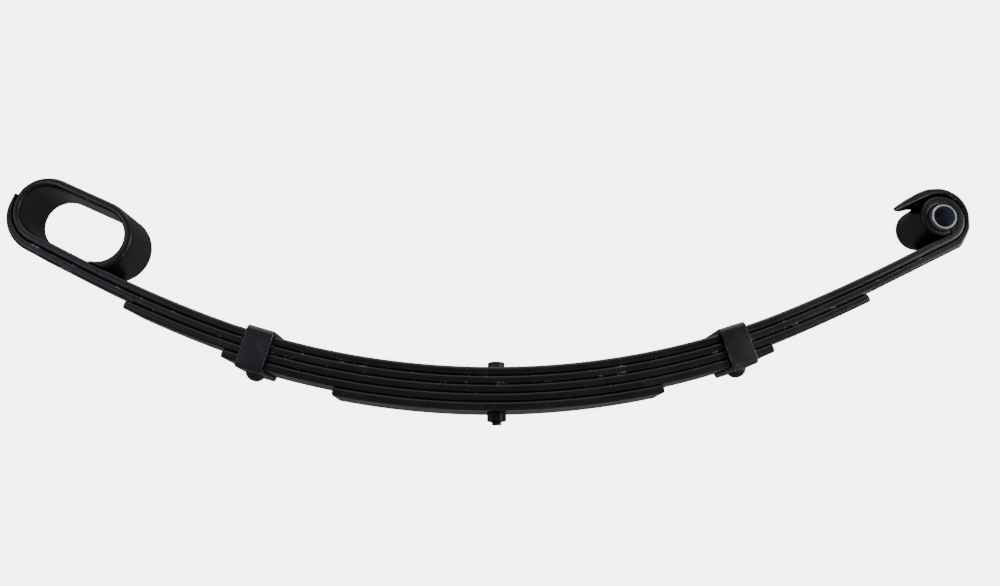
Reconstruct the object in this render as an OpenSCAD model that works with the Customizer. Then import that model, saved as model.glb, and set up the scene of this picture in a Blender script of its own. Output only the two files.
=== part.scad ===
// Semi-elliptic leaf spring: five leaves, a rolled eye with a bush at one end and
// a slipper loop at the other, held by a centre bolt and two riveted clips.
// +X points to the eye, +Y runs across the leaves, +Z points to the concave side.
// The origin is on the centre bolt's axis, at the top of the main leaf.

/* [Leaves] */
// Width of every leaf
leaf_w = 50; // [40:1:60]
// Thickness of every leaf
leaf_t = 8; // [6:0.5:9]
// Gap between one leaf and the next
leaf_gap = 0.1; // [0.05:0.05:0.3]
// Radius of the main leaf's top surface in its middle stretch
mid_r = 735; // [650:5:900]
// Slope at which the middle stretch ends
mid_slope = 22; // [20:0.5:23]
// Radius of the main leaf's top surface in its outer stretch on the eye side
eye_side_r = 1700; // [1200:50:3000]
// Slope of the straight end that carries the eye
eye_slope = 26; // [24:0.5:28]
// Radius of the main leaf's top surface in its outer stretch on the loop side
loop_side_r = 1230; // [1100:10:1700]
// Slope of the straight end that carries the loop
loop_slope = 27.5; // [25:0.1:28]
// Third leaf's reach from the centre bolt to its end on the loop side
third_loop_side = 338; // [300:1:350]
// Third leaf's reach on the eye side
third_eye_side = 351; // [300:1:360]
// Fourth leaf's reach on the loop side
fourth_loop_side = 249; // [245:1:270]
// Fourth leaf's reach on the eye side
fourth_eye_side = 257; // [245:1:270]
// Fifth leaf's reach on the loop side
fifth_loop_side = 149.5; // [120:1:180]
// Fifth leaf's reach on the eye side
fifth_eye_side = 153.5; // [120:1:180]
// Length of the bevel under each end of the fifth leaf
bevel_l = 2; // [1:0.5:8]
// Height of that bevel
bevel_h = 2; // [1:0.5:4]

/* [Eye] */
// Straight length from the outer stretch to the foot of the eye's centre
eye_reach = 59; // [50:1:75]
// Height of the eye's centre above the main leaf's top surface
eye_lift = 16.6; // [15:0.2:18]
// Radius of the bore in the rolled eye
eye_bore_r = 13; // [12:0.1:14]
// Thinning of the roll on its free side, against the leaf's thickness
roll_thin = 0.8; // [0:0.1:3]
// Shift of the roll's free side towards the rest of the leaf's end
roll_shift = 1.8; // [0:0.1:3]
// Gap between the roll's tip and the leaf that it lies on
roll_gap = 0.4; // [0.3:0.1:0.8]
// Thickness of the wrapper leaf around the eye
wrap_t = 5.8; // [4:0.1:8]
// Length of the wrapper's free tail past the eye's centre
tail_l = 38; // [30:1:45]
// Thickness of the tail at its tip
tail_tip_t = 4.2; // [3:0.1:5.5]
// Rise of the tail's rounded back above its tip
tail_rise = 3; // [1:0.5:5]
// Width of the square end of the tail's tip
tail_tip_w = 1.5; // [1:0.5:10]
// Length by which the tail's slanting cut shortens it at the other side
tail_slant = 55; // [30:1:60]

/* [Slipper loop] */
// Radius of the loop's outer end, inside
loop_r = 24.2; // [20:0.1:28]
// Radius of the loop's inner end, inside
barrel_r = 25.4; // [20:0.1:28]
// Distance between the centres of the loop's two ends
loop_l = 51.8; // [30:0.2:70]
// Reach from the outer stretch to the outer end's centre
loop_reach = 49.8; // [40:0.1:60]
// Thickness of the loop at its outer end
loop_end_t = 6.4; // [5:0.1:8]
// Thinning of the loop's outer end between its top and its foot
loop_thin = 2.4; // [0:0.1:2.5]
// Radius of the wrapper's outer surface round the loop's outer end
cradle_out_r = 34.4; // [33:0.1:36]
// Height at which the wrapper stops, above the main leaf's top surface
wrap_stop = 26; // [10:0.2:28]
// Thickness of the wrapper where it stops
wrap_end_t = 1.6; // [1.2:0.1:4]

/* [Clips] */
// Reach from the centre bolt to the middle of the eye-side clip
eye_clip_reach = 219.5; // [180:0.5:236]
// Reach from the centre bolt to the middle of the loop-side clip
loop_clip_reach = 215; // [180:0.5:236]
// Width of a clip along the leaves
clip_w = 25; // [15:1:30]
// Thickness of a clip's strap
clip_t = 4; // [2.5:0.5:5]
// Gap between a clip and the leaves
clip_gap = 0.35; // [0.3:0.05:1]
// Inner bend radius of a clip
clip_bend = 1; // [0.5:0.1:1.1]
// Part of the width that the near fold of the eye-side clip covers
eye_clip_fold = 0.66; // [0.4:0.01:0.8]
// Part of the width that the near fold of the loop-side clip covers
loop_clip_fold = 0.5; // [0.4:0.01:0.8]
// Gap between a clip's two folds
fold_gap = 1; // [0.5:0.1:3]
// Radius of a rivet's domed head
rivet_head_r = 9; // [7:0.5:11]
// Height of that head
rivet_head_h = 6.5; // [4:0.5:8]
// Radius of a rivet's shank
rivet_r = 4; // [3:0.5:5]

/* [Centre bolt] */
// Radius of the bolt's shank
bolt_r = 5; // [4:0.5:6]
// Radius of its round head
head_r = 8; // [7:0.5:9]
// Height of the head
head_h = 7.4; // [6:0.2:12]
// Chamfer around the head
head_chamfer = 1; // [0.5:0.1:2]
// Width of the nut across its flats
nut_af = 16; // [13:1:18]
// Height of the nut
nut_h = 8.4; // [6:0.2:10]
// Length of thread below the nut
bolt_end = 3.3; // [2:0.1:10]
// Radial clearance around the bolt and the rivets in the leaves
hole_gap = 0.3; // [0.2:0.05:0.5]
// Radial clearance of the nut on the bolt
thread_gap = 0.05; // [0.03:0.01:0.1]

/* [Bush] */
// Bore radius of the steel sleeve
sleeve_bore_r = 10.25; // [9:0.25:10.5]
// Outer radius of the steel sleeve
sleeve_r = 12; // [11:0.25:12]
// Length that the sleeve stands out at each side
sleeve_out = 4; // [1:0.5:8]
// Radial clearance of each fit in the eye
bush_gap = 0.05; // [0.02:0.01:0.1]

/* [Hidden] */
$fn = 96;
big_fn = 720;
far = 2000;
pitch = leaf_t + leaf_gap;
eps = 0.01;
// Overlap of a straight end with the arc before it, and of an outer stretch with the
// middle one, as an angle.
lap = 0.2;
lap_turn = 0.02;

// End of the middle stretch, and centre and end of an outer stretch of radius r.
mid_end = [mid_r * sin(mid_slope), mid_r * (1 - cos(mid_slope))];
function outer_centre(r) = mid_end + r * [-sin(mid_slope), cos(mid_slope)];
function outer_end(r, slope) = outer_centre(r) + r * [sin(slope), -cos(slope)];

// Places in the frame of a straight end: first value along it, second above its top.
eye_at = [eye_reach, eye_lift];
roll_outer_r = eye_lift + leaf_t - 1;
roll_outer_at = eye_at + [-0.6, roll_outer_r - eye_lift - leaf_t];
roll_free_r = eye_bore_r + leaf_t - roll_thin;
roll_free_at = roll_outer_at + [roll_shift, roll_outer_r - roll_free_r];
wrap_in_r = roll_outer_r + leaf_gap;
wrap_out_r = wrap_in_r - 1 + wrap_t;
wrap_out_at = eye_at + [-0.5, 2];
tail_top = wrap_out_at[1] + wrap_out_r;
tail_drop = 1;
kink_low = [eye_reach + 3.6, -pitch - leaf_t];
kink_high = eye_at + (wrap_out_r + 0.3) * [cos(-48.5), sin(-48.5)];
loop_far = [loop_reach, loop_r];
barrel_at = [loop_reach - loop_l, barrel_r];
barrel_out_r = barrel_r + leaf_t;
loop_top = 2 * loop_r + leaf_t;
loop_out_r = (loop_top + leaf_t - loop_thin) / 2;
loop_out_at = [loop_reach + loop_r + loop_end_t - loop_out_r, loop_top - loop_out_r];
foot_r = loop_r + leaf_t;
foot_at = [loop_out_at[0] + loop_out_r - foot_r - 0.3, loop_r];
cradle_r = foot_r + 1;
cradle_at = [foot_at[0], cradle_r - pitch];
cradle_out_at = [foot_at[0] - 0.3, cradle_out_r - pitch - leaf_t];
stack_clip = 4 * leaf_t + 3 * leaf_gap;
stack_all = 5 * leaf_t + 4 * leaf_gap;

// Slope of a leaf where its top surface, depth below the main leaf's, is x away
// from the centre bolt.
function slope_at(x, depth, end_r) = let (r = mid_r + depth, mid_x = r * sin(mid_slope))
    x < mid_x ? asin(x / r) : asin(sin(mid_slope) + (x - mid_x) / (end_r + depth));

// Sector of a ring about c, from angle a0 to a1 (less than 170 degrees apart).
module band(c, r_in, r_out, a0, a1, fn) {
    reach = 1.5 * r_out;
    am = (a0 + a1) / 2;
    intersection() {
        difference() {
            translate(c) circle(r = r_out, $fn = fn);
            translate(c) circle(r = r_in, $fn = fn);
        }
        translate(c)
            polygon([
                [0, 0], reach * [cos(a0), sin(a0)],
                reach / cos((a1 - a0) / 2) * [cos(am), sin(am)],
                reach * [cos(a1), sin(a1)],
            ]);
    }
}

// One half of a leaf's side view, whose top lies depth below the main leaf's top.
module half_leaf(depth, slope, end_r) {
    inner = min(slope, mid_slope);
    band([0, mid_r], mid_r + depth, mid_r + depth + leaf_t, -90, -90 + inner, big_fn);
    if (slope > mid_slope)
        band(outer_centre(end_r), end_r + depth, end_r + depth + leaf_t,
             -90 + mid_slope - lap_turn, -90 + slope, big_fn);
}

module leaf_side(depth, loop_end_slope, eye_end_slope) {
    half_leaf(depth, eye_end_slope, eye_side_r);
    mirror([1, 0]) half_leaf(depth, loop_end_slope, loop_side_r);
}

// A short leaf's side view, which reaches to given distances from the centre bolt.
module short_leaf_side(depth, loop_side, eye_side) {
    leaf_side(depth, slope_at(loop_side, depth, loop_side_r),
              slope_at(eye_side, depth, eye_side_r));
}

// Places its children in the frame of the straight end on the eye's side.
module eye_frame() {
    translate(outer_end(eye_side_r, eye_slope)) rotate(eye_slope) children();
}

// The same on the loop's side.
module loop_frame() {
    mirror([1, 0])
        translate(outer_end(loop_side_r, loop_slope)) rotate(loop_slope) children();
}

// Makes a side view into a leaf, with the centre bolt's hole.
module leaf_solid() {
    difference() {
        rotate([90, 0, 0]) linear_extrude(height = leaf_w, center = true) children();
        translate([0, 0, -far / 2]) cylinder(r = bolt_r + hole_gap, h = far);
    }
}

module eye_side() {
    difference() {
        union() {
            translate([-lap, -leaf_t]) square([eye_reach + lap, leaf_t]);
            translate(roll_free_at) circle(r = roll_free_r);
            intersection() {
                translate(roll_outer_at) circle(r = roll_outer_r);
                translate([roll_outer_at[0], -leaf_t]) square(far);
            }
        }
        translate(eye_at) circle(r = eye_bore_r);
        square([eye_reach + 1, roll_gap]);
        translate([eye_reach + 1, 0]) square([roll_gap, eye_lift - eye_bore_r + 1]);
    }
}

module loop_side() {
    difference() {
        union() {
            polygon([[-lap, -leaf_t], [foot_at[0], -leaf_t], [foot_at[0], loop_r],
                     [loop_out_at[0], loop_top], [barrel_at[0], barrel_r + barrel_out_r],
                     [barrel_at[0], 0], [-lap, 0]]);
            translate(loop_out_at) circle(r = loop_out_r);
            intersection() {
                translate(foot_at) circle(r = foot_r);
                translate([foot_at[0], -leaf_t]) square(foot_r);
            }
            intersection() {
                translate(barrel_at) circle(r = barrel_out_r);
                translate([barrel_at[0] - far, roll_gap]) square([far, far]);
            }
        }
        translate(loop_far) circle(r = loop_r);
        translate(barrel_at) circle(r = barrel_r);
        polygon([[barrel_at[0], 0], [loop_reach, 0],
                 [loop_reach, 2 * loop_r], [barrel_at[0], 2 * barrel_r]]);
        translate([barrel_at[0] - barrel_r / 3, 0]) square([barrel_r, barrel_r]);
    }
}

module main_leaf() {
    color("#1c1b1e")
        leaf_solid() {
            leaf_side(0, loop_slope, eye_slope);
            eye_frame() eye_side();
            loop_frame() loop_side();
        }
}

module wrapper_eye_side() {
    tail_end = [eye_reach - tail_l, tail_top - tail_drop];
    tail_under = tail_end[1] - tail_tip_t;
    difference() {
        union() {
            translate([-lap, -pitch - leaf_t]) square([kink_low[0] + lap, leaf_t]);
            translate(wrap_out_at) circle(r = wrap_out_r);
            polygon([eye_at, [lap, -pitch - leaf_t], kink_low, kink_high,
                     wrap_out_at + wrap_out_r * [cos(-30), sin(-30)]]);
            polygon([wrap_out_at, wrap_out_at + wrap_out_r * [cos(64), sin(64)],
                     tail_end + [1.08 * tail_l, 0.6 * tail_rise],
                     tail_end + [0.8 * tail_l, tail_rise],
                     tail_end + [0.4 * tail_l, 0.7 * tail_rise], tail_end,
                     [tail_end[0], tail_under], [wrap_out_at[0], tail_top - wrap_t]]);
        }
        translate(roll_outer_at) circle(r = wrap_in_r);
        translate(wrap_out_at) circle(r = wrap_out_r - wrap_t);
        polygon([[-1, -pitch], [roll_outer_at[0], -pitch], wrap_out_at,
                 [wrap_out_at[0], tail_top - wrap_t],
                 [tail_end[0], tail_under], [-1, tail_under]]);
    }
}

// Slanting cut across the wrapper's free tail, from its tip to the other side.
module tail_cut() {
    tip = [eye_reach - tail_l, tail_tip_w - leaf_w / 2];
    end = [tip[0] + tail_slant, leaf_w / 2];
    past = end + (end - tip) / 4;
    at = outer_end(eye_side_r, eye_slope);
    translate([at[0], 0, at[1]]) rotate([0, -eye_slope, 0])
        translate([0, 0, eye_lift]) linear_extrude(height = 2 * wrap_out_r)
            polygon([tip, past, [tip[0] - tail_l, past[1]], [tip[0] - tail_l, tip[1]]]);
}

module wrapper_leaf() {
    color("#1f1e21")
        difference() {
            leaf_solid() {
                leaf_side(pitch, loop_slope, eye_slope);
                eye_frame() wrapper_eye_side();
                loop_frame() wrapper_loop_side();
            }
            tail_cut();
        }
}

module wrapper_loop_side() {
    stop = [cradle_out_at[0], wrap_stop];
    end_x = cradle_at[0] + sqrt(pow(cradle_r, 2) - pow(wrap_stop - cradle_at[1], 2));
    difference() {
        union() {
            polygon([[-lap, -pitch], [-lap, -pitch - leaf_t], [0, -pitch - leaf_t],
                     [cradle_out_at[0], cradle_out_at[1] - cradle_out_r], stop]);
            intersection() {
                translate(cradle_out_at) circle(r = cradle_out_r);
                translate([cradle_out_at[0], -far]) square([far, far + wrap_stop]);
            }
            polygon([cradle_out_at, cradle_out_at + [cradle_out_r, 0],
                     [end_x + wrap_end_t, wrap_stop], stop]);
        }
        translate(cradle_at) circle(r = cradle_r);
        polygon([[-1, far], [-1, -pitch], [0, -pitch],
                 [cradle_at[0], cradle_at[1] - cradle_r], [cradle_at[0], far]]);
    }
}

module third_leaf() {
    color("#1a191c")
        leaf_solid()
            short_leaf_side(2 * pitch, third_loop_side, third_eye_side);
}

// Rivet and clip frame: the middle of a clip on the main leaf's top surface.
module clip_frame(side) {
    reach = side > 0 ? eye_clip_reach : loop_clip_reach;
    turn = asin(reach / mid_r);
    translate([side * reach, 0, mid_r * (1 - cos(turn))])
        rotate([0, -side * turn, 0]) children();
}

module fourth_leaf() {
    color("#1c1b1d")
        difference() {
            leaf_solid()
                short_leaf_side(3 * pitch, fourth_loop_side, fourth_eye_side);
            for (side = [-1, 1])
                clip_frame(side)
                    translate([0, 0, -2 * stack_clip])
                        cylinder(r = rivet_r + hole_gap, h = 2 * stack_clip);
        }
}

// Bevel under an end of the fifth leaf, cut across its lower corner.
module bevel(slope) {
    r = mid_r + 4 * pitch;
    translate([r * sin(slope), mid_r - r * cos(slope)]) rotate(slope)
        polygon([[-bevel_l, -leaf_t - eps], [eps, bevel_h - leaf_t],
                 [leaf_t, bevel_h - leaf_t], [leaf_t, -2 * leaf_t],
                 [-bevel_l, -2 * leaf_t]]);
}

module fifth_leaf() {
    color("#1e1d1f")
        leaf_solid()
            difference() {
                short_leaf_side(4 * pitch, fifth_loop_side, fifth_eye_side);
                bevel(slope_at(fifth_eye_side, 4 * pitch, eye_side_r));
                mirror([1, 0]) bevel(slope_at(fifth_loop_side, 4 * pitch, loop_side_r));
            }
}

module centre_bolt() {
    color("#222124") {
        cylinder(r = head_r, h = head_h - head_chamfer);
        translate([0, 0, head_h - head_chamfer])
            cylinder(r1 = head_r, r2 = head_r - head_chamfer, h = head_chamfer);
        translate([0, 0, -stack_all - nut_h - bolt_end])
            cylinder(r = bolt_r, h = stack_all + nut_h + bolt_end + head_h / 2);
    }
}

module centre_nut() {
    corner = nut_af / 2 / cos(30);
    color("#222124")
        translate([0, 0, -stack_all - nut_h])
            difference() {
                intersection() {
                    cylinder(r = corner, h = nut_h, $fn = 6);
                    rotate_extrude()
                        polygon([[0, 0], [nut_af / 2 - 0.2, 0], [corner + 0.4, 1.6],
                                 [corner + 0.4, nut_h], [0, nut_h]]);
                }
                translate([0, 0, -1]) cylinder(r = bolt_r + thread_gap, h = nut_h + 2);
            }
}

module rounded(w, h, r) {
    translate([-w / 2 + r, -h / 2]) square([w - 2 * r, h]);
    translate([-w / 2, -h / 2 + r]) square([w, h - 2 * r]);
    for (x = [-1, 1], y = [-1, 1])
        translate([x * (w / 2 - r), y * (h / 2 - r)]) circle(r = r);
}

// Strap bent round four leaves, open between its two folds on top.
module clip(side, near_fold) {
    in_w = leaf_w + 2 * clip_gap;
    in_h = stack_clip + 2 * clip_gap;
    split = in_w * (near_fold - 0.5);
    clip_frame(side)
        difference() {
            translate([0, 0, -stack_clip / 2]) rotate([90, 0, 90])
                linear_extrude(height = clip_w, center = true)
                    difference() {
                        rounded(in_w + 2 * clip_t, in_h + 2 * clip_t, clip_bend + clip_t);
                        rounded(in_w, in_h, clip_bend);
                        translate([split - fold_gap / 2, 0]) square([fold_gap, in_h]);
                    }
            translate([0, 0, -2 * stack_clip])
                cylinder(r = rivet_r + thread_gap, h = 1.5 * stack_clip);
        }
}

module eye_side_clip() {
    color("#262528") clip(1, eye_clip_fold);
}

module loop_side_clip() {
    color("#262528") clip(-1, loop_clip_fold);
}

// Rivet with its head under the clip, flush with the top of the fourth leaf.
module rivet(side) {
    dome_r = (rivet_head_r * rivet_head_r + rivet_head_h * rivet_head_h) / (2 * rivet_head_h);
    seat = -stack_clip - clip_gap - clip_t;
    clip_frame(side) {
        translate([0, 0, seat]) cylinder(r = rivet_r, h = clip_t + clip_gap + leaf_t - 0.3);
        intersection() {
            translate([0, 0, seat - rivet_head_h + dome_r]) sphere(r = dome_r);
            translate([0, 0, seat - rivet_head_h]) cylinder(r = far / 100, h = rivet_head_h);
        }
    }
}

module eye_side_rivet() {
    color("#2a292b") rivet(1);
}

module loop_side_rivet() {
    color("#2a292b") rivet(-1);
}

// Tube about the eye's axis, from r_in to r_out, centred across the leaves.
module eye_tube(r_in, r_out, l) {
    rotate([90, 0, 0]) linear_extrude(height = l, center = true)
        eye_frame()
            translate(eye_at)
                difference() {
                    circle(r = r_out);
                    circle(r = r_in);
                }
}

module bush_rubber() {
    color("#101012") eye_tube(sleeve_r + bush_gap, eye_bore_r - bush_gap, leaf_w);
}

module bush_sleeve() {
    color("#cfd2da") eye_tube(sleeve_bore_r, sleeve_r, leaf_w + 2 * sleeve_out);
}

main_leaf();
wrapper_leaf();
third_leaf();
fourth_leaf();
fifth_leaf();
centre_bolt();
centre_nut();
eye_side_clip();
eye_side_rivet();
loop_side_clip();
loop_side_rivet();
bush_rubber();
bush_sleeve();
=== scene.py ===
"""Semi-elliptic leaf spring: five rolled leaves with a bushed eye at one end and a slipper loop at the
other, a centre bolt and two riveted clips, all in black enamel. Lengths are in metres."""
import math

import bmesh
import bpy
import numpy as np
from mathutils import Matrix, Vector


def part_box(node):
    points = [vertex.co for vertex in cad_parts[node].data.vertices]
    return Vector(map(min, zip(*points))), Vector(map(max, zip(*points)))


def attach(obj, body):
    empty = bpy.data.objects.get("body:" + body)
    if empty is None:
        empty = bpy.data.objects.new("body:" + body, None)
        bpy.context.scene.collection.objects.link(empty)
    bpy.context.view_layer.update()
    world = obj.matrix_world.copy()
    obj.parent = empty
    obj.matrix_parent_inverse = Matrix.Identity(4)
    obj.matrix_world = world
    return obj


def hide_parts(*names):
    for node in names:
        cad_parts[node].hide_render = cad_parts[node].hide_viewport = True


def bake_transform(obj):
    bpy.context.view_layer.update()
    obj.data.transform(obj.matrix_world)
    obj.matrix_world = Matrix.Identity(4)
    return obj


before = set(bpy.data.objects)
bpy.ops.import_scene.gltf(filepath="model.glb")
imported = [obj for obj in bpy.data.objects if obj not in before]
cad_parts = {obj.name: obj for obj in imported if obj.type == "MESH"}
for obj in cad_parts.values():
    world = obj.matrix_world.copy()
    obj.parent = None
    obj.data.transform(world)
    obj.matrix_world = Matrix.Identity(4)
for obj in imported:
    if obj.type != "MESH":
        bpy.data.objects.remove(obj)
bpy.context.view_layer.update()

# Main leaf: one bar of spring steel with rolled, rounded edges. Its ends are rolled hot, into an eye
# at one end and an oval slipper loop at the other. It bends on each side of the bolt, so it is drawn
# as two halves that meet under the bolt's head.
leaf_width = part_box("main_leaf")[1][1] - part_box("main_leaf")[0][1]
leaf_thickness = 0.008
leaf_pitch = 0.0081
edge_radius = 0.003
end_radius = 0.0009
middle_radius = 0.735
middle_slope = 22
eye_side_radius = 1.7
eye_slope = 26
loop_side_radius = 1.23
loop_slope = 27.5
fine_step = 0.0013
eye_centre = (0.059, 0.0166)
eye_bore = 0.013
slit_turn = -86
bore_end_turn = 272
roll_centre = (0.0584, 0.0156)
roll_radius = 0.0236
free_centre = (0.0602, 0.019)
free_radius = 0.0202
loop_centre = (0.0498, 0.0242)
loop_radius = 0.0242
barrel_centre = (-0.002, 0.0254)
barrel_radius = 0.0254
barrel_end_turn = 254
loop_foot_centre = (0.0479, 0.0242)
loop_back_centre = (0.0494, 0.0254)
loop_back_radius = 0.031
lip_gap = 0.0004
lip_past = 0.0005
side_wear = 0.4
round_share = 0.42
merge_distance = 1e-6


def polar(centre, radius, angle):
    """The point at an angle, in degrees, on a circle."""
    turn = math.radians(angle)
    return centre[0] + radius * math.cos(turn), centre[1] + radius * math.sin(turn)


def arc(centre, radius, start, end):
    """A stretch of a circle: centre + radius (cos a, sin a), with a running from start to end degrees."""
    return lambda t: np.array(centre) + radius * np.stack(
        [np.cos(np.radians(start + (end - start) * t)), np.sin(np.radians(start + (end - start) * t))], 1)


def straight(start, end):
    """A straight stretch: (1 - t) start + t end."""
    return lambda t: (1 - t)[:, None] * np.array(start) + t[:, None] * np.array(end)


def strip(stretches, step):
    """Two lines that run side by side. Each stretch is a pair of curves of t from 0 to 1, sampled at
    equal steps of t, with as many steps as its longer curve holds of the given length."""
    rows = []
    for inner, outer in stretches:
        ends = np.array([0.0, 0.5, 1.0])
        length = max(np.linalg.norm(np.diff(curve(ends), axis=0), axis=1).sum() for curve in (inner, outer))
        t = np.linspace(0, 1, max(3, int(length / step) + 1))
        rows.append(np.stack([inner(t), outer(t)], 1)[1 if rows else 0:])
    return np.concatenate(rows)


def eased(rows, reach):
    """Rounds the corners of a strip: a weighted mean over reach rows to each side, with the ends kept."""
    weights = np.hanning(2 * reach + 3)[1:-1]
    padded = np.concatenate([2 * rows[:1] - rows[reach:0:-1], rows, 2 * rows[-1:] - rows[-2:-reach - 2:-1]])
    return sum(w * padded[i:i + len(rows)] for i, w in enumerate(weights)) / weights.sum()


def bent_bar(depth, side_radius, slope, step=0.004):
    """Side view of a bar from the bolt outwards: an arc about the point middle_radius above the bolt, up
    to middle_slope, and then one of side_radius. The bar's top lies depth below the main leaf's."""
    knee = min(slope, middle_slope)
    centre = (0, middle_radius)
    far_centre = (middle_radius - side_radius) * math.sin(math.radians(middle_slope)), \
        middle_radius + (side_radius - middle_radius) * math.cos(math.radians(middle_slope))
    stretches = [[arc(centre, middle_radius + depth + t, -90, -90 + knee) for t in (0, leaf_thickness)]]
    if slope > middle_slope:
        stretches.append([arc(far_centre, side_radius + depth + t, -90 + middle_slope, -90 + slope)
                          for t in (0, leaf_thickness)])
    return strip(stretches, step)


def at_straight_end(rows, side_radius, slope):
    """Moves a strip from the frame of a bar's straight end, which starts on the main leaf's top, to the
    spring's own: turned by the slope and moved to the end of the outer arc."""
    a, b = math.radians(middle_slope), math.radians(slope)
    start = np.array([middle_radius * math.sin(a) + side_radius * (math.sin(b) - math.sin(a)),
                      middle_radius * (1 - math.cos(a)) + side_radius * (math.cos(a) - math.cos(b))])
    turn = np.array([[math.cos(b), math.sin(b)], [-math.sin(b), math.cos(b)]])
    return start + rows @ turn


def rounded_section(flat_steps=12, corner_steps=6):
    """Outline of a bar's section as rows of (side, corner) pairs across and down: a point lies at
    side * (half the size - radius) + corner * radius. Also gives how near it is to a corner, 0 to 1."""
    quarter = np.linspace(0, math.pi / 2, corner_steps + 1)[:-1]
    flat = np.linspace(-1, 1, flat_steps + 1)[:-1]
    down = flat[::6]
    zero, one = np.zeros_like, np.ones_like
    parts = [(flat, zero(flat), -one(flat), -one(flat), zero(flat)),
             (one(quarter), np.sin(quarter), -one(quarter), -np.cos(quarter), np.sin(2 * quarter)),
             (one(down), one(down), down, zero(down), side_wear + zero(down)),
             (one(quarter), np.cos(quarter), one(quarter), np.sin(quarter), np.sin(2 * quarter)),
             (-flat, zero(flat), one(flat), one(flat), zero(flat)),
             (-one(quarter), -np.sin(quarter), one(quarter), np.cos(quarter), np.sin(2 * quarter)),
             (-one(down), -one(down), -down, zero(down), side_wear + zero(down)),
             (-one(quarter), -np.cos(quarter), -one(quarter), -np.sin(quarter), np.sin(2 * quarter))]
    return [np.concatenate(column) for column in zip(*parts)]


def bar_surface(rows, width, radius, rounded_ends, cut_at=None):
    """Carries the rounded section along a strip. Across is y; down runs from the strip's first line to
    its second. At a rounded end the last rows draw in along a quarter circle. cut_at gives the row at
    which the bar ends for each y, and the rows after the first quarter of the strip crowd up to it."""
    side_y, corner_y, side_d, corner_d, edge = rounded_section()
    count = len(rows)
    place = np.arange(count, dtype=float)
    inset = np.zeros(count)
    spacing = np.linalg.norm(np.diff(rows.mean(1), axis=0), axis=1)
    for end, here in ((0, spacing[0]), (count - 1, spacing[-1])):
        if (end == 0 and rounded_ends[0]) or (end and rounded_ends[1]):
            turn = np.linspace(0, math.pi / 2, 5)
            back = end_radius * (1 - np.sin(turn)) / here
            place = np.concatenate([place[:-1], end - back] if end else [back[::-1], place[1:]])
            drawn = end_radius * (1 - np.cos(turn))
            inset = np.concatenate([inset[:-1], drawn] if end else [drawn[::-1], inset[1:]])
    order = np.argsort(place, kind="stable")
    place, inset = place[order], inset[order]
    grid = np.repeat(place[:, None], len(side_y), 1)
    if cut_at is not None:
        across = side_y * (width / 2 - radius) + corner_y * radius
        start = count // 4
        crowded = start + (grid - start) * (cut_at(across)[None] - start) / (count - 1 - start)
        grid = np.where(grid > start, crowded, grid)
    index = np.arange(count)
    points = np.stack([np.interp(grid, index, rows[:, line, axis])
                       for line in (0, 1) for axis in (0, 1)], -1)
    top, bottom = points[..., :2], points[..., 2:]
    thick = np.linalg.norm(bottom - top, axis=-1)
    round_by = np.minimum(radius, round_share * thick)
    inset = inset[:, None]
    y = side_y * (width / 2 - round_by - inset) + corner_y * round_by
    down = thick / 2 + side_d * (thick / 2 - round_by - inset) + corner_d * round_by
    mid = top + (down / thick)[..., None] * (bottom - top)
    return np.stack([mid[..., 0], y, mid[..., 1]], -1), np.repeat(edge[None], len(place), 0)


def grid_faces(rows, columns, wrap_rows=False):
    """Quads between the neighbours of a grid whose columns close on themselves."""
    r, c = np.meshgrid(np.arange(rows if wrap_rows else rows - 1), np.arange(columns), indexing="ij")
    r1, c1 = (r + 1) % rows, (c + 1) % columns
    corners = [r * columns + c, r * columns + c1, r1 * columns + c1, r1 * columns + c]
    return np.stack(corners, -1).reshape(-1, 4)


def make_piece(name, grid, edge, wrap_rows=False, sharp=40):
    """A closed mesh from a grid of points. Open ends get flat caps, rows that shrink to a point are
    merged, and faces are turned outwards. edge, 0 to 1 at each point, is kept as an attribute: the
    enamel is worn where it is high, and the sleeve marks its bore with it."""
    rows, columns = grid.shape[:2]
    faces = grid_faces(rows, columns, wrap_rows).tolist()
    if not wrap_rows:
        faces += [list(range(columns)), list(range((rows - 1) * columns, rows * columns))]
    mesh = bpy.data.meshes.new(name)
    mesh.from_pydata(grid.reshape(-1, 3).tolist(), [], faces)
    marks = mesh.attributes.new("edge", "FLOAT", "POINT")
    marks.data.foreach_set("value", edge.reshape(-1).astype(np.float32))
    work = bmesh.new()
    work.from_mesh(mesh)
    bmesh.ops.remove_doubles(work, verts=work.verts, dist=merge_distance)
    bmesh.ops.recalc_face_normals(work, faces=work.faces)
    work.to_mesh(mesh)
    work.free()
    mesh.shade_smooth()
    mesh.set_sharp_from_angle(angle=math.radians(sharp))
    piece = bpy.data.objects.new(name, mesh)
    bpy.context.scene.collection.objects.link(piece)
    return piece


def make_half(name, rows, side, cut_at=None):
    """Half of a leaf on the eye's side (side 1) or the loop's (side -1), cut flat at the bolt."""
    grid, edge = bar_surface(rows, leaf_width, edge_radius, (False, True), cut_at)
    grid[..., 0] *= side
    return make_piece(name, grid, edge)


slit = polar(eye_centre, eye_bore, slit_turn)
lip_turn = 180 + math.degrees(math.asin((free_centre[1] - lip_gap) / free_radius))
eye_roll = strip([
    (straight((0, 0), (slit[0], 0)),
     straight((0, -leaf_thickness), (roll_centre[0], -leaf_thickness))),
    (straight((slit[0], 0), slit), arc(roll_centre, roll_radius, -90, slit_turn)),
    (arc(eye_centre, eye_bore, slit_turn, -slit_turn), arc(roll_centre, roll_radius, slit_turn, -slit_turn)),
    (arc(eye_centre, eye_bore, -slit_turn, lip_turn), arc(free_centre, free_radius, 90, lip_turn)),
    (arc(eye_centre, eye_bore, lip_turn, bore_end_turn),
     straight(polar(free_centre, free_radius, lip_turn), (eye_centre[0] + lip_past, lip_gap))),
], fine_step)
lean = math.degrees(math.atan2(2 * (barrel_radius - loop_radius), loop_centre[0] - barrel_centre[0]))
barrel_wall = barrel_radius + leaf_thickness
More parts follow.
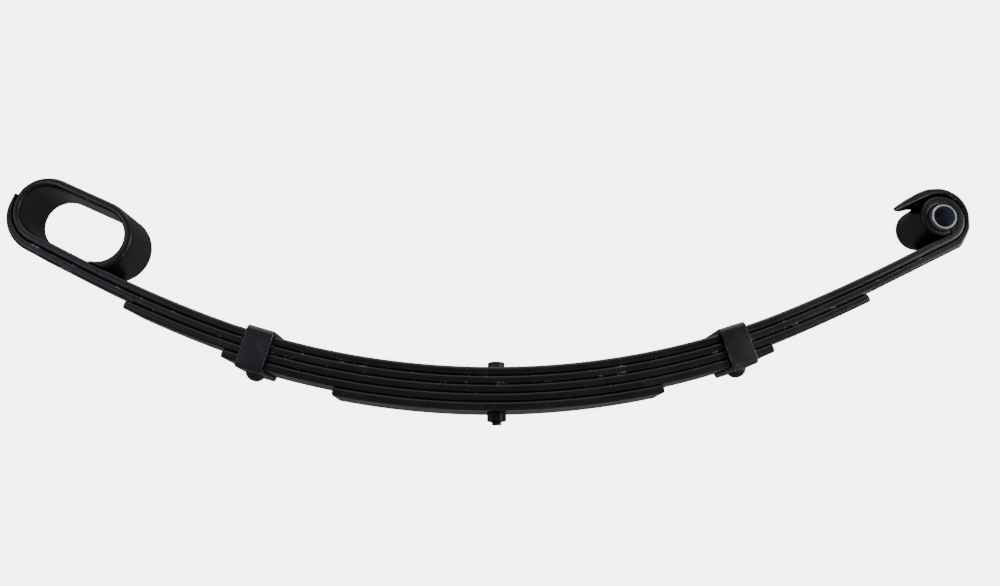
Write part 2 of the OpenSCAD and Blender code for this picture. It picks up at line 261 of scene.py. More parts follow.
barrel_turn = 180 + math.degrees(math.asin((barrel_centre[1] - lip_gap) / barrel_wall))
barrel_lip = polar(barrel_centre, barrel_radius, barrel_end_turn)
roof = 90 - lean
slipper = strip([
    (straight((0, 0), (loop_centre[0], 0)),
     straight((0, -leaf_thickness), (loop_foot_centre[0], -leaf_thickness))),
    (arc(loop_centre, loop_radius, -90, 0), arc(loop_foot_centre, loop_radius + leaf_thickness, -90, 0)),
    (arc(loop_centre, loop_radius, 0, roof), arc(loop_back_centre, loop_back_radius, 0, roof)),
    (straight(polar(loop_centre, loop_radius, roof), polar(barrel_centre, barrel_radius, roof)),
     straight(polar(loop_back_centre, loop_back_radius, roof), polar(barrel_centre, barrel_wall, roof))),
    (arc(barrel_centre, barrel_radius, roof, barrel_turn),
     arc(barrel_centre, barrel_wall, roof, barrel_turn)),
    (arc(barrel_centre, barrel_radius, barrel_turn, barrel_end_turn),
     straight(polar(barrel_centre, barrel_wall, barrel_turn), (barrel_lip[0], lip_gap))),
], fine_step)
main_bars = {
    1: np.concatenate([bent_bar(0, eye_side_radius, eye_slope)[:-1],
                       at_straight_end(eased(eye_roll, 2), eye_side_radius, eye_slope)]),
    -1: np.concatenate([bent_bar(0, loop_side_radius, loop_slope)[:-1],
                        at_straight_end(eased(slipper, 2), loop_side_radius, loop_slope)]),
}


def new_group(name, inputs, outputs):
    """An empty shader node group. inputs and outputs are (name, socket type, starting value) rows."""
    group = bpy.data.node_groups.new(name, "ShaderNodeTree")
    for direction, rows in (("INPUT", inputs), ("OUTPUT", outputs)):
        for label, kind, value in rows:
            socket = group.interface.new_socket(label, in_out=direction, socket_type="NodeSocket" + kind)
            if value is not None:
                socket.default_value = value
    return group, group.nodes.new("NodeGroupInput").outputs, group.nodes.new("NodeGroupOutput").inputs


def add_node(tree, kind, settings=None, **sockets):
    """A node of one kind with its settings, and a value or a link for each socket named or numbered."""
    node = tree.nodes.new("ShaderNode" + kind)
    for key, value in (settings or {}).items():
        setattr(node, key, value)
    for key, value in sockets.items():
        socket = node.inputs[int(key[1:])] if key[0] == "_" else node.inputs[key.replace("_", " ")]
        if isinstance(value, bpy.types.NodeSocket):
            tree.links.new(value, socket)
        else:
            socket.default_value = value
    return node


def ramp(tree, value, low, high):
    """0 below low and 1 above high, and smooth between."""
    node = add_node(tree, "MapRange", {"interpolation_type": "SMOOTHSTEP"}, Value=value)
    node.inputs["From Min"].default_value = low
    node.inputs["From Max"].default_value = high
    return node.outputs["Result"]


def mixed(tree, mask, under, over):
    """Colour over laid on colour under by a mask."""
    node = add_node(tree, "Mix", {"data_type": "RGBA"}, _0=mask, _6=under, _7=over)
    return node.outputs[2]


def arithmetic(tree, operation, *values):
    """The result of one sum on two or three values, each a number or a link."""
    node = tree.nodes.new("ShaderNodeMath")
    node.operation = operation
    for socket, value in zip(node.inputs, values):
        if isinstance(value, bpy.types.NodeSocket):
            tree.links.new(value, socket)
        else:
            socket.default_value = value
    return node.outputs[0]


def enamel_group():
    """Sprayed black enamel: cloudy tint, runs, orange peel, settled dust, and chips on worn corners."""
    tree, given, out = new_group(
        "enamel over steel",
        [("Paint", "Color", (0.0045, 0.0045, 0.006, 1)), ("Cloud", "Color", (0.0065, 0.007, 0.0095, 1)),
         ("Dust", "Color", (0.2, 0.18, 0.16, 1)), ("Chip", "Color", (0.25, 0.24, 0.24, 1)),
         ("Wear", "Float", 0.7), ("Roughness", "Float", 0.4), ("Peel", "Float", 0.5)],
        [("Color", "Color", None), ("Roughness", "Float", None), ("Normal", "Vector", None)])
    place = tree.nodes.new("ShaderNodeTexCoord").outputs["Object"]
    edge = add_node(tree, "Attribute", {"attribute_name": "edge"}).outputs["Fac"]
    clouds = add_node(tree, "TexNoise", Vector=place, Scale=28, Detail=5, Roughness=0.6).outputs["Fac"]
    stretch = add_node(tree, "Mapping", Vector=place, Scale=(1, 0.12, 1)).outputs["Vector"]
    runs = add_node(tree, "TexNoise", Vector=stretch, Scale=420, Detail=3, Roughness=0.6).outputs["Fac"]
    peel = add_node(tree, "TexNoise", Vector=place, Scale=620, Detail=2, Roughness=0.5).outputs["Fac"]
    grit = add_node(tree, "TexVoronoi", Vector=place, Scale=520, Randomness=1).outputs["Distance"]
    patches = add_node(tree, "TexNoise", Vector=place, Scale=95, Detail=4, Roughness=0.65).outputs["Fac"]
    ragged = add_node(tree, "TexNoise", Vector=place, Scale=900, Detail=4, Roughness=0.7).outputs["Fac"]
    worn = arithmetic(tree, "MULTIPLY", ramp(tree, patches, 0.52, 0.64), ramp(tree, edge, 0.35, 0.95))
    worn = arithmetic(tree, "MULTIPLY", worn, given["Wear"])
    chips = ramp(tree, arithmetic(tree, "ADD", arithmetic(tree, "MULTIPLY", worn, 0.3), ragged), 0.74, 0.8)
    speck = arithmetic(tree, "MULTIPLY", arithmetic(tree, "SUBTRACT", 1.0, ramp(tree, grit, 0.1, 0.2)),
                       ramp(tree, patches, 0.5, 0.7))
    bent = add_node(tree, "Mapping", Vector=place, Rotation=(0.3, 0.9, 0.5), Scale=(1, 0.22, 0.7))
    cells = add_node(tree, "TexVoronoi", {"feature": "DISTANCE_TO_EDGE"},
                     Vector=bent.outputs["Vector"], Scale=75).outputs["Distance"]
    lines = arithmetic(tree, "SUBTRACT", 1.0, ramp(tree, cells, 0.003, 0.014))
    scuffs = arithmetic(tree, "MULTIPLY", lines, ramp(tree, patches, 0.58, 0.7))
    dusty = arithmetic(tree, "MULTIPLY", ramp(tree, runs, 0.5, 0.85), ramp(tree, clouds, 0.45, 0.7))
    colour = mixed(tree, ramp(tree, clouds, 0.3, 0.7), given["Paint"], given["Cloud"])
    colour = mixed(tree, arithmetic(tree, "MULTIPLY", dusty, 0.12), colour, given["Dust"])
    colour = mixed(tree, arithmetic(tree, "MULTIPLY", speck, 0.1), colour, given["Dust"])
    colour = mixed(tree, arithmetic(tree, "MULTIPLY", scuffs, 0.35), colour, given["Dust"])
    colour = mixed(tree, chips, colour, given["Chip"])
    tree.links.new(colour, out["Color"])
    cloudy = arithmetic(tree, "MULTIPLY", arithmetic(tree, "SUBTRACT", clouds, 0.5), 0.35)
    rough = arithmetic(tree, "ADD", given["Roughness"], cloudy)
    rough = arithmetic(tree, "ADD", rough, arithmetic(tree, "MULTIPLY", dusty, 0.25))
    tree.links.new(rough, out["Roughness"])
    height = arithmetic(tree, "ADD", peel, arithmetic(tree, "MULTIPLY", runs, 0.35))
    height = arithmetic(tree, "ADD", height, arithmetic(tree, "MULTIPLY", speck, 0.6))
    height = arithmetic(tree, "SUBTRACT", height, arithmetic(tree, "MULTIPLY", chips, 1.5))
    height = arithmetic(tree, "SUBTRACT", height, arithmetic(tree, "MULTIPLY", scuffs, 0.8))
    bump = add_node(tree, "Bump", Strength=given["Peel"], Distance=0.00015, Height=height)
    tree.links.new(bump.outputs["Normal"], out["Normal"])
    return tree


enamel = enamel_group()


def new_material(name):
    """A material, its node tree and its Principled shader."""
    material = bpy.data.materials.new(name)
    material.use_nodes = True
    return material, material.node_tree, material.node_tree.nodes["Principled BSDF"]


def enamel_material(name, group_values, **shader_values):
    """A Principled surface fed by the enamel group, with the group's values for this piece."""
    material, tree, shader = new_material(name)
    group = tree.nodes.new("ShaderNodeGroup")
    group.node_tree = enamel
    for key, value in group_values.items():
        group.inputs[key].default_value = value
    tree.links.new(group.outputs["Color"], shader.inputs["Base Color"])
    tree.links.new(group.outputs["Roughness"], shader.inputs["Roughness"])
    tree.links.new(group.outputs["Normal"], shader.inputs["Normal"])
    for key, value in shader_values.items():
        shader.inputs[key.replace("_", " ")].default_value = value
    return material


leaf_paint = enamel_material("leaf enamel", {"Wear": 0.6, "Roughness": 0.34, "Peel": 0.35},
                             Specular_IOR_Level=0.36)
leaf_flex = {1: ("eye_end", (0.009, 0, 0), (0.2062, 0, 0)),
             -1: ("loop_end", (-0.009, 0, 0), (-0.202, 0, 0))}
side_names = {1: "eye_half", -1: "loop_half"}


def dress_leaf(node, bars, material, cut_at=None):
    """Makes both halves of a leaf, cut flat at the bolt, and hides the imported part."""
    for side, rows in bars.items():
        half = make_half(f"{node}_{side_names[side]}", rows, side, cut_at if side == 1 else None)
        half.data.materials.append(material)
        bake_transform(half)
        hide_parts(node)


dress_leaf("main_leaf", main_bars, leaf_paint)

# Wrapper leaf: the second bar, forged round the outside of the eye as a safety wrap, with a slanting
# free tail above the eye. At the other end it cradles the loop's outer end and stops half way up.
wrap_centre = (0.0585, 0.0186)
wrap_radius = 0.0285
wrap_inner = 0.0227
wrap_gap = 0.0001
wrap_seat = roll_radius + wrap_gap
wrap_foot = 0.06
kink_low = (0.0626, -leaf_pitch - leaf_thickness)
kink_high = (0.0781, -0.005)
tail_tip = (0.021, 0.0461)
tail_tip_thickness = 0.0042
tail_under = [(0.0512, 0.0414), (0.0415, 0.0416), (0.031, 0.0417),
              (tail_tip[0], tail_tip[1] - tail_tip_thickness)]
tail_over = [(0.062, 0.0479), (0.0514, 0.0491), (0.0362, 0.0482), tail_tip]
tail_slant = 0.055
tail_square = 0.0015
cradle_centre = (0.0479, 0.0251)
cradle_radius = 0.0332
cradle_back_centre = (0.0476, 0.0183)
cradle_back_radius = 0.0344
cradle_lip = (0.0827, 0.026)
wrap_top = -leaf_pitch
wrap_bottom = -leaf_pitch - leaf_thickness
eye_wrap = strip([
    (straight((0, wrap_top), (roll_centre[0], wrap_top)),
     straight((0, wrap_bottom), (wrap_foot, wrap_bottom))),
    (arc(roll_centre, wrap_seat, -90, -82), straight((wrap_foot, wrap_bottom), kink_low)),
    (arc(roll_centre, wrap_seat, -82, -50), straight(kink_low, kink_high)),
    (arc(roll_centre, wrap_seat, -50, -30), straight(kink_high, polar(wrap_centre, wrap_radius, -30))),
    (arc(roll_centre, wrap_seat, -30, 20), arc(wrap_centre, wrap_radius, -30, 13)),
    (arc(wrap_centre, wrap_inner, 13, 90), arc(wrap_centre, wrap_radius, 13, 64)),
    (straight((wrap_centre[0], wrap_centre[1] + wrap_inner), tail_under[0]),
     straight(polar(wrap_centre, wrap_radius, 64), tail_over[0])),
    *[(straight(*tail_under[i:i + 2]), straight(*tail_over[i:i + 2])) for i in range(3)],
], fine_step)
loop_cradle = strip([
    (straight((0, wrap_top), (cradle_centre[0], wrap_top)),
     straight((0, wrap_bottom), (cradle_back_centre[0], wrap_bottom))),
    (arc(cradle_centre, cradle_radius, -90, -11.5), arc(cradle_back_centre, cradle_back_radius, -90, 0)),
    (arc(cradle_centre, cradle_radius, -11.5, 1.5),
     straight(polar(cradle_back_centre, cradle_back_radius, 0), cradle_lip)),
], fine_step)
eye_wrap = eased(eye_wrap, 2)
wrapper_lead = bent_bar(leaf_pitch, eye_side_radius, eye_slope)[:-1]


def tail_end(across):
    """Row of the wrapper at which its tail ends for each y: the cut runs straight across in plan."""
    along = eye_wrap[..., 0].mean(1)
    first = int(np.argmax(along))
    share = np.clip((across + leaf_width / 2 - tail_square) / (leaf_width - tail_square), 0, 1)
    reach = tail_tip[0] + tail_slant * share
    rows = np.interp(-reach, -along[first:], np.arange(first, len(along)))
    return len(wrapper_lead) + rows


wrapper_bars = {
    1: np.concatenate([wrapper_lead, at_straight_end(eye_wrap, eye_side_radius, eye_slope)]),
    -1: np.concatenate([bent_bar(leaf_pitch, loop_side_radius, loop_slope)[:-1],
                        at_straight_end(eased(loop_cradle, 2), loop_side_radius, loop_slope)]),
}
wrapper_paint = enamel_material(
    "wrapper enamel", {"Wear": 0.9, "Roughness": 0.36, "Peel": 0.4, "Cloud": (0.009, 0.0085, 0.0095, 1)},
    Specular_IOR_Level=0.36)
dress_leaf("wrapper_leaf", wrapper_bars, wrapper_paint, tail_end)

# Third, fourth and fifth leaves: shorter bars of the same steel, cut square and pressed under the
# wrapper. Each end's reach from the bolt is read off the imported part's box.
short_paint = enamel_material(
    "short leaf enamel",
    {"Wear": 0.6, "Roughness": 0.38, "Peel": 0.35, "Cloud": (0.006, 0.0072, 0.0085, 1)},
    Specular_IOR_Level=0.36)


def slope_of(reach, depth, side_radius):
    """Slope of a bar whose lower corner is reach from the bolt: the angle whose sine is reach over the
    lower surface's radius, counted on from middle_slope in the outer arc."""
    lower = middle_radius + depth + leaf_thickness
    knee = lower * math.sin(math.radians(middle_slope))
    if reach < knee:
        return math.degrees(math.asin(reach / lower))
    rise = (reach - knee) / (side_radius + depth + leaf_thickness)
    return math.degrees(math.asin(math.sin(math.radians(middle_slope)) + rise))


for place, node in enumerate(("third_leaf", "fourth_leaf", "fifth_leaf"), start=2):
    low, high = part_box(node)
    depth = place * leaf_pitch
    bars = {1: bent_bar(depth, eye_side_radius, slope_of(high[0], depth, eye_side_radius), 0.003),
            -1: bent_bar(depth, loop_side_radius, slope_of(-low[0], depth, loop_side_radius), 0.003)}
    dress_leaf(node, bars, short_paint)

# Clips: straps of mild steel, riveted under the fourth leaf, bent up both sides and folded over the
# main leaf so that the leaves stay together on rebound. They are painted with the rest.
clip_reach = {1: 0.2195, -1: 0.215}
clip_width = 0.025
clip_thickness = 0.004
clip_gap = 0.00035
clip_bend = 0.001
clip_edge = 0.0007
fold_share = {1: 0.66, -1: 0.5}
fold_gap = 0.001
clipped_stack = 4 * leaf_thickness + 3 * (leaf_pitch - leaf_thickness)
clip_paint = enamel_material(
    "clip enamel", {"Wear": 1.7, "Roughness": 0.34, "Peel": 0.5, "Paint": (0.009, 0.0092, 0.0135, 1),
                    "Cloud": (0.018, 0.0185, 0.026, 1)}, Specular_IOR_Level=0.45)


def clip_frame(side):
    """Place of a clip: on the main leaf's top at its reach, turned to stand square to the leaf."""
    turn = math.asin(clip_reach[side] / middle_radius)
    at = Vector((side * clip_reach[side], 0, middle_radius * (1 - math.cos(turn))))
    return Matrix.Translation(at) @ Matrix.Rotation(-side * turn, 4, "Y")


def placed(grid, matrix):
    """Every point of a grid moved by a matrix."""
    m = np.array(matrix)
    return grid @ m[:3, :3].T + m[:3, 3]


def strap(side):
    """The strap's section round the leaves: straights and corner bends, from the near fold's end, down
    the near side, under the leaves, up the far side and back to the far fold's end."""
    half = leaf_width / 2 + clip_gap
    low, high = -clipped_stack - clip_gap, clip_gap
    split = 2 * half * (fold_share[side] - 0.5)
    corners = [(-half, high, 90, 180), (-half, low, 180, 270), (half, low, 270, 360), (half, high, 0, 90)]
    radii = (clip_bend, clip_bend + clip_thickness)
    stretches = []
    here = [(split - fold_gap / 2, high), (split - fold_gap / 2, high + clip_thickness)]
    for y, z, start, end in corners:
        centre = (y - math.copysign(clip_bend, y), z - clip_bend if z == high else z + clip_bend)
        stretches.append([straight(p, polar(centre, r, start)) for p, r in zip(here, radii)])
        stretches.append([arc(centre, r, start, end) for r in radii])
        here = [polar(centre, r, end) for r in radii]
    stop = split + fold_gap / 2
    stretches.append([straight(here[0], (stop, high)), straight(here[1], (stop, high + clip_thickness))])
    return strip(stretches, 0.001)


for side, node in ((1, "eye_side_clip"), (-1, "loop_side_clip")):
    grid, edge = bar_surface(strap(side), clip_width, clip_edge, (True, True))
    grid = np.stack([grid[..., 1], grid[..., 0], grid[..., 2]], -1)
    clip = make_piece(node + "_strap", placed(grid, clip_frame(side)), edge)
    clip.data.materials.append(clip_paint)
    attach(clip, leaf_flex[side][0])
    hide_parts(node)

# Rivets: one under each clip, driven hot, so that the head is a slightly uneven dome on a flat foot.
rivet_head_radius = 0.009
rivet_head_height = 0.0065
rivet_shank_radius = 0.004
rivet_foot_step = 0.0001
rivet_end_gap = 0.0003
around = np.linspace(0, 2 * math.pi, 97)[:-1]


def turned(profile, uneven=None):
    """Surface of revolution about z from rows of (radius, height). uneven(angle, height) scales radius."""
    radius, height = np.array(profile).T
    r = radius[:, None] * np.ones_like(around)
    z = height[:, None] * np.ones_like(around)
    if uneven is not None:
        r = r * uneven(around[None], z)
    return np.stack([r * np.cos(around), r * np.sin(around), z], -1)


dome_radius = (rivet_head_radius ** 2 + rivet_head_height ** 2) / (2 * rivet_head_height)
rivet_seat = -clipped_stack - clip_gap - clip_thickness
dome_reach = math.asin(rivet_head_radius / dome_radius)
dome = [(dome_radius * math.sin(a), rivet_seat - rivet_head_height + dome_radius * (1 - math.cos(a)))
        for a in np.linspace(0, dome_reach, 24)]
foot_top = rivet_seat + rivet_foot_step
shank_top = rivet_seat + clip_thickness + clip_gap + leaf_thickness - rivet_end_gap
rivet_profile = dome + [(rivet_head_radius - rivet_foot_step, foot_top), (rivet_shank_radius, foot_top),
                        (rivet_shank_radius, shank_top), (0, shank_top)]
rivet_edge = np.array([0.25] * 20 + [0.9] * 4 + [1, 0, 0, 0])
rivet_paint = enamel_material(
    "rivet enamel", {"Wear": 1.0, "Roughness": 0.4, "Peel": 0.8, "Cloud": (0.012, 0.013, 0.015, 1)},
    Specular_IOR_Level=0.4)
for side, node in ((1, "eye_side_rivet"), (-1, "loop_side_rivet")):
    grid = turned(rivet_profile, lambda a, z: 1 + 0.02 * np.cos(2 * a + side) + 0.012 * np.cos(5 * a))
    rivet = make_piece(node + "_dome", placed(grid, clip_frame(side)),
                       np.repeat(rivet_edge[:, None], len(around), 1))
    rivet.data.materials.append(rivet_paint)
    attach(rivet, leaf_flex[side][0])
    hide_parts(node)

# Centre bolt: a turned round head that locates the axle's spring pad, a plain shank through all five
# leaves and an M10 thread that shows below the nut.
bolt_low, bolt_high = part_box("centre_bolt")
head_radius = bolt_high[0]
head_top = bolt_high[2]
head_chamfer = 0.001
bolt_radius = 0.005
thread_pitch = 0.0015
thread_depth = 0.0009
thread_length = 0.02
thread_low = bolt_low[2]
thread_steps = 220
thread_run_out = 0.001
point_length = 0.0008
head_foot = 0.0003
head_profile = [(0, head_top), (0.0025, head_top), (head_radius - head_chamfer, head_top),
                (head_radius - head_chamfer * 0.4, head_top - head_chamfer * 0.25),
                (head_radius, head_top - head_chamfer), (head_radius, head_foot),
                (head_radius - head_foot, 0), (bolt_radius, 0)]
thread_rows = np.linspace(thread_low + thread_length, thread_low + point_length, thread_steps)
shank = [(bolt_radius, z) for z in thread_rows] \
    + [(bolt_radius - thread_depth, thread_low), (0, thread_low)]


def thread(angle, height):
    """A helical V: the radius drops by thread_depth as height less pitch times turns leaves a crest."""
    turns = (height / thread_pitch - angle / (2 * math.pi)) % 1
    inside = (height < thread_low + thread_length - thread_run_out) & (height > thread_low)
    return 1 - inside * thread_depth / bolt_radius * np.abs(2 * turns - 1)


bolt_edge = np.array([0, 0, 0.5, 1, 0.8, 0.1, 0.8, 0] + [0.2] * len(thread_rows) + [0.8, 0])
bolt_paint = enamel_material(
    "bolt enamel", {"Wear": 0.9, "Roughness": 0.36, "Peel": 0.4, "Paint": (0.007, 0.007, 0.01, 1)},
    Specular_IOR_Level=0.45)
bolt = make_piece("centre_bolt_threaded", turned(head_profile + shank, thread),
                  np.repeat(bolt_edge[:, None], len(around), 1))
bolt.data.materials.append(bolt_paint)
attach(bolt, "middle")
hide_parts("centre_bolt")

# Centre nut: a hexagon nut with chamfered corners on both faces, run up hard against the fifth leaf.
nut_low, nut_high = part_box("centre_nut")
nut_flats = 0.016
nut_turn = math.radians(-5.7)
nut_bore = bolt_radius + 0.00005
corner_cut = 0.0011
cone_slope = 1.7
cone_inset = 0.0001


def hexagon(angle, height):
    """Radius of a hexagon at an angle, capped near both faces by a cone that trims its corners."""
    within = (angle - nut_turn) % (math.pi / 3) - math.pi / 6
    face = nut_flats / 2 / np.cos(within)
    depth = np.minimum(height - nut_low[2], nut_high[2] - height)
    cone = nut_flats / 2 - cone_inset + cone_slope * np.minimum(depth, corner_cut)
    return np.minimum(face, cone)


nut_heights = [nut_high[2], *np.linspace(nut_high[2], nut_high[2] - corner_cut, 8),
               *np.linspace(nut_low[2] + corner_cut, nut_low[2], 8), nut_low[2]]
nut_rows = len(nut_heights)
in_bore = (np.arange(nut_rows) % (nut_rows - 1) == 0)[:, None]
nut_grid = turned([(1, z) for z in nut_heights], lambda a, z: np.where(in_bore, nut_bore, hexagon(a, z)))
from_flat = np.abs((around - nut_turn) % (math.pi / 3) - math.pi / 6)
nut_edge = np.clip(1.2 - np.abs(from_flat - math.pi / 6) * 9, 0, 1)
nut = make_piece("centre_nut_hexagon", nut_grid, np.repeat(nut_edge[None], nut_rows, 0),
                 wrap_rows=True, sharp=22)
nut.data.materials.append(bolt_paint)
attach(nut, "middle")
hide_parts("centre_nut")

# Bush: a rubber tube pressed into the eye, its ends bulged a little, with a bright zinc-plated steel
# sleeve through it that stands out at both sides and takes the hanger's bolt. The sleeve's bore is
# marked, so that the shade inside it can be painted on as a darker colour.
sleeve_low, sleeve_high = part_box("bush_sleeve")
sleeve_radius = (sleeve_high[0] - sleeve_low[0]) / 2
sleeve_bore = 0.01025
sleeve_half = sleeve_high[1]
sleeve_chamfer = 0.0004
rubber_low, rubber_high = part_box("bush_rubber")
rubber_radius = (rubber_high[0] - rubber_low[0]) / 2
rubber_half = rubber_high[1]
bush_centre = Vector(((sleeve_low[0] + sleeve_high[0]) / 2, 0, (sleeve_low[2] + sleeve_high[2]) / 2))
bush_axis = Matrix.Translation(bush_centre) @ Matrix.Rotation(math.pi / 2, 4, "X")
turning_rows = np.linspace(sleeve_half - sleeve_chamfer, sleeve_chamfer - sleeve_half, 90)
sleeve_profile = [
    (sleeve_bore + sleeve_chamfer, sleeve_half), (sleeve_radius - sleeve_chamfer, sleeve_half),
    *[(sleeve_radius, z) for z in turning_rows],
    (sleeve_radius - sleeve_chamfer, -sleeve_half), (sleeve_bore + sleeve_chamfer, -sleeve_half),
    (sleeve_bore, sleeve_chamfer - sleeve_half), (sleeve_bore, sleeve_half - sleeve_chamfer)]
# Painted shade: these rows mark the sleeve's bore, which the zinc material colours darker for the shade
# inside the tube.
shaded_bore_rows = np.array([radius < sleeve_bore + sleeve_chamfer / 2 for radius, _ in sleeve_profile], float)
sleeve = make_piece("bush_sleeve_plated", placed(turned(sleeve_profile), bush_axis),
                    np.repeat(shaded_bore_rows[:, None], len(around), 1), wrap_rows=True, sharp=25)


def zinc_plate():
    """Bright zinc: a bloom in its colour and gloss, fine turning marks, and a duller bore with painted shade
    in it.
    """
    material, tree, shader = new_material("bright zinc plate")
    place = tree.nodes.new("ShaderNodeTexCoord").outputs["Object"]
    squeezed = add_node(tree, "Mapping", Vector=place, Scale=(0.02, 1, 0.02)).outputs["Vector"]
    turning = add_node(tree, "TexNoise", Scale=900, Detail=2, Vector=squeezed).outputs["Fac"]
    bloom = add_node(tree, "TexNoise", Vector=place, Scale=130, Detail=4).outputs["Fac"]
    colour = mixed(tree, ramp(tree, bloom, 0.35, 0.7), (0.62, 0.65, 0.74, 1), (0.45, 0.47, 0.57, 1))
    bore = add_node(tree, "Attribute", {"attribute_name": "edge"}).outputs["Fac"]
    # Painted shade: the marked bore gets a darker blue-grey colour that stands for the shade inside the tube.
    colour = mixed(tree, bore, colour, (0.16, 0.165, 0.24, 1))
    metallic = arithmetic(tree, "SUBTRACT", 0.8, arithmetic(tree, "MULTIPLY", bore, 0.4))
    rough = arithmetic(tree, "ADD", 0.22, arithmetic(tree, "MULTIPLY", bloom, 0.2))
    bump = add_node(tree, "Bump", Strength=0.25, Distance=0.0002, Height=turning)
    tree.links.new(colour, shader.inputs["Base Color"])
    tree.links.new(metallic, shader.inputs["Metallic"])
    tree.links.new(rough, shader.inputs["Roughness"])
    tree.links.new(bump.outputs["Normal"], shader.inputs["Normal"])
    return material


sleeve.data.materials.append(zinc_plate())
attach(sleeve, "sleeve")
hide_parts("bush_sleeve")

bulge = 0.0012
rubber_gap = 0.00005
rubber_bore = sleeve_radius + rubber_gap
rubber_wall = rubber_radius - rubber_bore
end_turn = np.linspace(0, math.pi, 9)
rubber_profile = [
    (rubber_bore + rubber_wall / 2 * (1 + math.cos(a)), rubber_half - bulge + bulge * math.sin(a))
    for a in end_turn[::-1]]
rubber_profile += [(r, -z) for r, z in rubber_profile[::-1]]
rubber_bush = make_piece("bush_rubber_moulded", placed(turned(rubber_profile), bush_axis),
                         np.zeros((len(rubber_profile), len(around))), wrap_rows=True, sharp=60)


def black_rubber():
    """Moulded rubber: nearly black, with a dull greyish bloom and a fine grain."""
    material, tree, shader = new_material("black rubber")
    shader.inputs["Specular IOR Level"].default_value = 0.3
    place = tree.nodes.new("ShaderNodeTexCoord").outputs["Object"]
    grain = add_node(tree, "TexNoise", Vector=place, Scale=1800, Detail=3).outputs["Fac"]
    bloom = add_node(tree, "TexNoise", Vector=place, Scale=160, Detail=4).outputs["Fac"]
    colour = mixed(tree, ramp(tree, bloom, 0.4, 0.75), (0.03, 0.027, 0.021, 1), (0.06, 0.053, 0.042, 1))
    rough = arithmetic(tree, "ADD", 0.62, arithmetic(tree, "MULTIPLY", bloom, 0.25))
    bump = add_node(tree, "Bump", Strength=0.3, Distance=0.0002, Height=grain)
    tree.links.new(colour, shader.inputs["Base Color"])
    tree.links.new(rough, shader.inputs["Roughness"])
    tree.links.new(bump.outputs["Normal"], shader.inputs["Normal"])
    return material


rubber_bush.data.materials.append(black_rubber())
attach(rubber_bush, "eye_end")
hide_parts("bush_rubber")

# Studio: a plain white sweep that runs under the spring and up behind it, in a room that is bright
# overhead, warm towards the eye and cool towards the loop. Both look much brighter to the camera than
# the light they cast. One broad light hangs above, with a warm one at the eye's side and a weak cool
# one at the loop's.
floor_height = -0.34
sweep_back = 2.6
sweep_radius = 1.4
sweep_half = 6.0
sweep_front = -5.0
sweep_top = 4.0
paper_glow = 0.03
paper_glow_seen = 5.5
room_seen_level = 5.7
sweep_turn = np.radians(np.linspace(-90, 0, 40))
sweep_side = [(sweep_front, floor_height), *zip(sweep_back - sweep_radius + sweep_radius * np.cos(sweep_turn),
                                         floor_height + sweep_radius * (1 + np.sin(sweep_turn))),
              (sweep_back, sweep_top)]
sweep_points = [(x, y, z) for y, z in sweep_side for x in (-sweep_half, sweep_half)]
sweep_faces = [(2 * i, 2 * i + 1, 2 * i + 3, 2 * i + 2) for i in range(len(sweep_side) - 1)]
sweep_mesh = bpy.data.meshes.new("studio_sweep")
sweep_mesh.from_pydata(sweep_points, [], sweep_faces)
sweep_mesh.shade_smooth()
sweep = bpy.data.objects.new("studio_sweep", sweep_mesh)
bpy.context.scene.collection.objects.link(sweep)
paper, paper_tree, paper_shader = new_material("white paper")
paper_shader.inputs["Base Color"].default_value = (0.3, 0.3, 0.3, 1)
paper_shader.inputs["Roughness"].default_value = 0.9
paper_shader.inputs["Emission Color"].default_value = (1, 1, 1, 1)
seen = paper_tree.nodes.new("ShaderNodeLightPath").outputs["Is Camera Ray"]
glow = arithmetic(paper_tree, "MULTIPLY_ADD", seen, paper_glow_seen, paper_glow)
paper_tree.links.new(glow, paper_shader.inputs["Emission Strength"])
sweep.data.materials.append(paper)

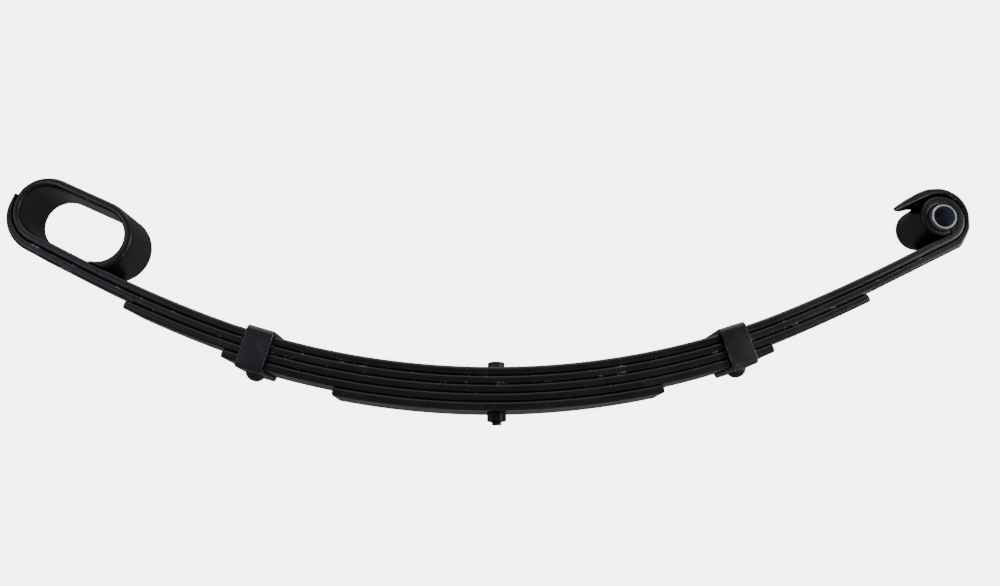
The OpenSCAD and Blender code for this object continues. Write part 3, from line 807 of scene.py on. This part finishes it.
world = bpy.data.worlds.new("pale room")
bpy.context.scene.world = world
world.use_nodes = True
room = world.node_tree
direction = room.nodes.new("ShaderNodeTexCoord").outputs["Generated"]
depth_way = add_node(room, "SeparateXYZ", Vector=direction).outputs
facing = arithmetic(room, "ADD", arithmetic(room, "MULTIPLY", depth_way["Y"], 0.4), depth_way["X"])
room_colour = mixed(room, ramp(room, facing, -0.6, 0.7), (0.05, 0.056, 0.085, 1), (0.22, 0.185, 0.15, 1))
room_colour = mixed(room, ramp(room, depth_way["Z"], 0.15, 0.85), room_colour, (0.75, 0.75, 0.75, 1))
room_seen = room.nodes.new("ShaderNodeLightPath").outputs["Is Camera Ray"]
room_colour = mixed(room, room_seen, room_colour, (room_seen_level,) * 3 + (1,))
room.links.new(room_colour, room.nodes["Background"].inputs["Color"])


def soft_light(name, at, towards, size, power, colour):
    """A square area light that faces a point."""
    lamp = bpy.data.lights.new(name, "AREA")
    lamp.size = size
    lamp.energy = power
    lamp.color = colour
    light = bpy.data.objects.new(name, lamp)
    light.location = at
    light.rotation_euler = (Vector(towards) - Vector(at)).to_track_quat("-Z", "Y").to_euler()
    bpy.context.scene.collection.objects.link(light)


soft_light("overhead", (0.1, -0.3, 1.7), (0, 0, 0), 1.6, 11, (1, 1, 1))
soft_light("eye_side_window", (1.7, -0.75, 0.1), (-0.15, 0, 0.08), 0.85, 24, (1, 0.88, 0.78))
soft_light("loop_side_fill", (-1.6, -1.5, 0.3), (-0.1, 0, 0.05), 0.9, 9, (0.76, 0.85, 1))

# Camera: in front of the spring's middle and a little below it, tilted slightly upwards.
camera_at = (-0.025165, -0.750302, -0.113951)
camera_pitch, camera_yaw, camera_roll = np.radians([7.727, 2.189, -0.58])
ahead = np.array([math.sin(camera_yaw) * math.cos(camera_pitch),
                  math.cos(camera_yaw) * math.cos(camera_pitch), math.sin(camera_pitch)])
level = np.array([math.cos(camera_yaw), -math.sin(camera_yaw), 0])
upright = np.cross(level, ahead)
right = level * math.cos(camera_roll) + upright * math.sin(camera_roll)
above = upright * math.cos(camera_roll) - level * math.sin(camera_roll)
lens = bpy.data.cameras.new("camera")
lens.sensor_width = 36
lens.lens = 28.85
lens.shift_y = 0.09
camera = bpy.data.objects.new("camera", lens)
camera_axes = [[right[i], above[i], -ahead[i], camera_at[i]] for i in range(3)]
camera.matrix_world = Matrix(camera_axes + [[0, 0, 0, 1]])
bpy.context.scene.collection.objects.link(camera)
bpy.context.scene.camera = camera

bpy.context.view_layer.update()
